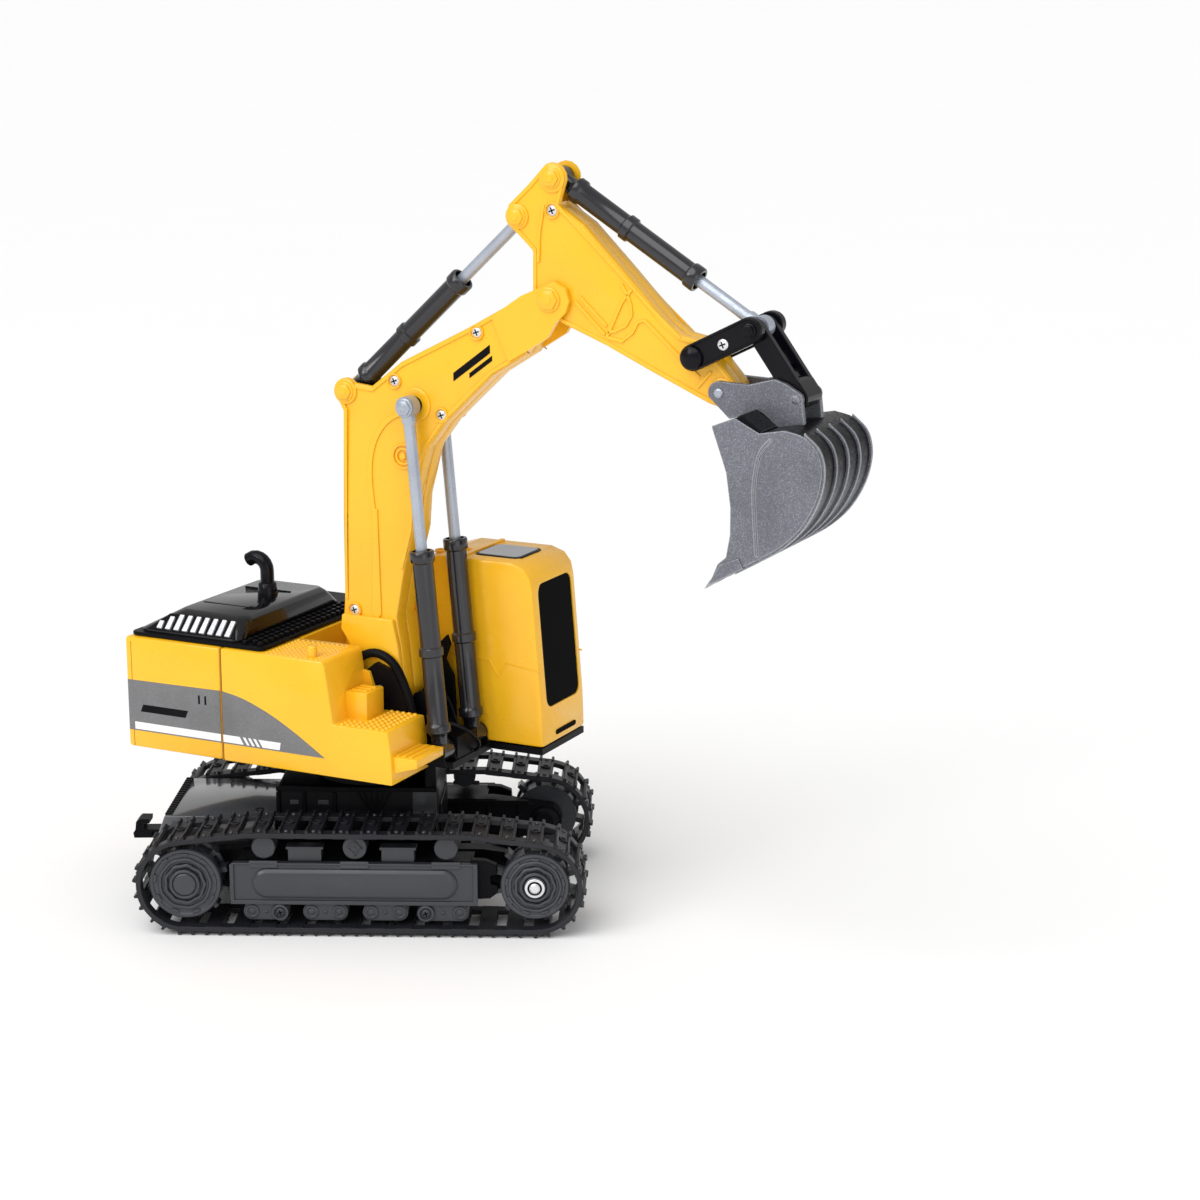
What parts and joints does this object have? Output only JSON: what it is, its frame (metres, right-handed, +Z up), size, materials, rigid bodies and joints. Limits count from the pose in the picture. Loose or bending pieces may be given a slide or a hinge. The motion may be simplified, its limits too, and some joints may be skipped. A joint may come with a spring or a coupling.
{
  "type": "toy excavator",
  "caption": "Toy crawler excavator with swinging house, hinged boom, arm and bucket, sliding cylinders, bucket linkage and crawler tracks.",
  "frame": {"origin": "on the ground, under the middle of the toy's bounding box in the pose shown, with the house turned 24.7 degrees to the right and the boom raised", "axes": "+X forward along the tracks, +Y to the machine's left, +Z up"},
  "size_m": [0.311, 0.2064, 0.3187],
  "materials": {
    "yellow": "gloss",
    "black": "satin",
    "dark_grey": "satin",
    "belt": "matte",
    "silver": "metallic paint",
    "steel": "polished",
    "bucket_grey": "metallic speckled paint",
    "glass": "gloss",
    "roof_glass": "gloss",
    "board": "matte",
    "battery": "satin"
  },
  "bodies": {
    "chassis": {"chassis_frame": "dark_grey", "rear_deck": "dark_grey", "tow_hook": "dark_grey", "belly_pan": "dark_grey", "turntable_ring": "dark_grey", "battery_pack": "battery", "right_drive_gearbox": "black", "left_drive_gearbox": "black", "right_track_frame": "black", "left_track_frame": "black", "right_side_panel": "black", "left_side_panel": "black", "right_track_belt": "belt", "left_track_belt": "belt", "right_idler_axle": "steel", "left_idler_axle": "steel"},
    "right_sprocket": {"right_sprocket": "black", "right_drive_axle": "steel"},
    "left_sprocket": {"left_sprocket": "black", "left_drive_axle": "steel"},
    "right_idler": {"right_idler": "black"},
    "left_idler": {"left_idler": "black"},
    "power_switch": {"power_switch": "black"},
    "house": {"house_floor": "black", "engine_cover": "black", "muffler": "black", "swing_gearbox": "black", "rear_body_shell": "yellow", "right_body_shell": "yellow", "left_body_shell": "yellow", "cab_shell": "yellow", "windscreen": "glass", "roof_window": "roof_glass", "circuit_board": "board", "boom_pivot_pin": "steel", "lift_foot_pin": "steel"},
    "boom": {"right_boom_shell": "yellow", "left_boom_shell": "yellow", "arm_pivot_pin": "yellow", "stick_foot_pin": "yellow", "lift_eye_pin": "silver"},
    "right_lift_barrel": {"right_lift_barrel": "black"},
    "left_lift_barrel": {"left_lift_barrel": "black"},
    "right_lift_rod": {"right_lift_rod": "silver"},
    "left_lift_rod": {"left_lift_rod": "silver"},
    "arm": {"right_arm_shell": "yellow", "left_arm_shell": "yellow", "stick_eye_pin": "yellow", "curl_foot_pin": "yellow", "rocker_pin": "steel", "bucket_pin": "silver"},
    "stick_barrel": {"stick_barrel": "black"},
    "stick_rod": {"stick_rod": "silver"},
    "curl_barrel": {"curl_barrel": "black"},
    "curl_rod": {"curl_rod": "silver"},
    "rocker": {"right_rocker_link": "black", "left_rocker_link": "black", "link_pin": "silver"},
    "push_link": {"push_link": "black"},
    "bucket": {"bucket": "bucket_grey"}
  },
  "joints": [
    {"name": "right_sprocket_spin", "type": "hinge", "parent": "chassis", "child": "right_sprocket", "pos_m": [-0.12346, -0.0262, 0.0215], "axis": [0, 1, 0], "continuous": true},
    {"name": "right_idler_spin", "type": "hinge", "parent": "chassis", "child": "right_idler", "pos_m": [0.02254, -0.0262, 0.0215], "axis": [0, 1, 0], "continuous": true},
    {"name": "left_sprocket_spin", "type": "hinge", "parent": "chassis", "child": "left_sprocket", "pos_m": [-0.12346, 0.0638, 0.0215], "axis": [0, 1, 0], "continuous": true},
    {"name": "left_idler_spin", "type": "hinge", "parent": "chassis", "child": "left_idler", "pos_m": [0.02254, 0.0638, 0.0215], "axis": [0, 1, 0], "continuous": true},
    {"name": "power_switch_slide", "type": "slide", "parent": "chassis", "child": "power_switch", "axis": [1, 0, 0], "range_m": [0, 0.003]},
    {"name": "house_swing", "type": "hinge", "parent": "chassis", "child": "house", "pos_m": [-0.05046, 0.0188, 0.057], "axis": [0, 0, 1], "continuous": true},
    {"name": "boom_lift", "type": "hinge", "parent": "house", "child": "boom", "pos_m": [-0.03836, 0.00443, 0.098], "axis": [-0.4179, -0.9085, 0], "range_deg": [-30, 4]},
    {"name": "arm_swing", "type": "hinge", "parent": "boom", "child": "arm", "pos_m": [0.03314, -0.02846, 0.2653], "axis": [-0.4179, -0.9085, 0], "range_deg": [-18, 18]},
    {"name": "bucket_curl", "type": "hinge", "parent": "arm", "child": "bucket", "pos_m": [0.10019, -0.0593, 0.2335], "axis": [-0.4179, -0.9085, 0], "range_deg": [-30, 20]},
    {"name": "right_lift_barrel_tilt", "type": "hinge", "parent": "house", "child": "right_lift_barrel", "pos_m": [-0.01741, -0.02062, 0.075], "axis": [-0.4179, -0.9085, 0], "range_deg": [-25.71, 3.69]},
    {"name": "right_lift_rod_tilt", "type": "hinge", "parent": "boom", "child": "right_lift_rod", "pos_m": [-0.02922, -0.01519, 0.219], "axis": [-0.4179, -0.9085, 0], "range_deg": [-0.91, 4.89]},
    {"name": "left_lift_barrel_tilt", "type": "hinge", "parent": "house", "child": "left_lift_barrel", "pos_m": [-0.00571, 0.00482, 0.075], "axis": [-0.4179, -0.9085, 0], "range_deg": [-25.71, 3.69]},
    {"name": "left_lift_rod_tilt", "type": "hinge", "parent": "boom", "child": "left_lift_rod", "pos_m": [-0.01752, 0.01025, 0.219], "axis": [-0.4179, -0.9085, 0], "range_deg": [-0.91, 4.89]},
    {"name": "stick_barrel_tilt", "type": "hinge", "parent": "boom", "child": "stick_barrel", "pos_m": [-0.05362, 0.01145, 0.2222], "axis": [-0.4179, -0.9085, 0], "range_deg": [-2.03, 2.03]},
    {"name": "stick_rod_tilt", "type": "hinge", "parent": "arm", "child": "stick_rod", "pos_m": [0.01951, -0.02219, 0.2971], "axis": [-0.4179, -0.9085, 0], "range_deg": [-16.57, 16.57]},
    {"name": "rocker_turn", "type": "hinge", "parent": "arm", "child": "rocker", "pos_m": [0.09074, -0.05495, 0.2467], "axis": [-0.4179, -0.9085, 0], "range_deg": [-28.5, 19.1]},
    {"name": "push_link_turn", "type": "hinge", "parent": "rocker", "child": "push_link", "pos_m": [0.11209, -0.06477, 0.2585], "axis": [-0.4179, -0.9085, 0], "range_deg": [-9.5, 14.1]},
    {"name": "curl_barrel_tilt", "type": "hinge", "parent": "arm", "child": "curl_barrel", "pos_m": [0.0336, -0.02867, 0.3125], "axis": [-0.4179, -0.9085, 0], "range_deg": [-4.38, 3.02]},
    {"name": "curl_rod_tilt", "type": "hinge", "parent": "rocker", "child": "curl_rod", "pos_m": [0.11209, -0.06477, 0.2585], "axis": [-0.4179, -0.9085, 0], "range_deg": [-16.38, 24.42]}
  ],
  "couplings": [
    {"joint": "right_lift_barrel_tilt", "follows": "boom_lift", "ratio": 0.847},
    {"joint": "right_lift_rod_tilt", "follows": "boom_lift", "ratio": -0.153},
    {"joint": "left_lift_barrel_tilt", "follows": "boom_lift", "ratio": 0.847},
    {"joint": "left_lift_rod_tilt", "follows": "boom_lift", "ratio": -0.153},
    {"joint": "stick_barrel_tilt", "follows": "arm_swing", "ratio": 0.096},
    {"joint": "stick_rod_tilt", "follows": "arm_swing", "ratio": -0.904},
    {"joint": "rocker_turn", "follows": "bucket_curl", "ratio": 0.94},
    {"joint": "push_link_turn", "follows": "bucket_curl", "ratio": -0.46},
    {"joint": "curl_barrel_tilt", "follows": "bucket_curl", "ratio": 0.136},
    {"joint": "curl_rod_tilt", "follows": "bucket_curl", "ratio": -0.804},
    {"joint": "right_idler_spin", "follows": "right_sprocket_spin", "ratio": 1},
    {"joint": "left_idler_spin", "follows": "left_sprocket_spin", "ratio": 1}
  ]
}
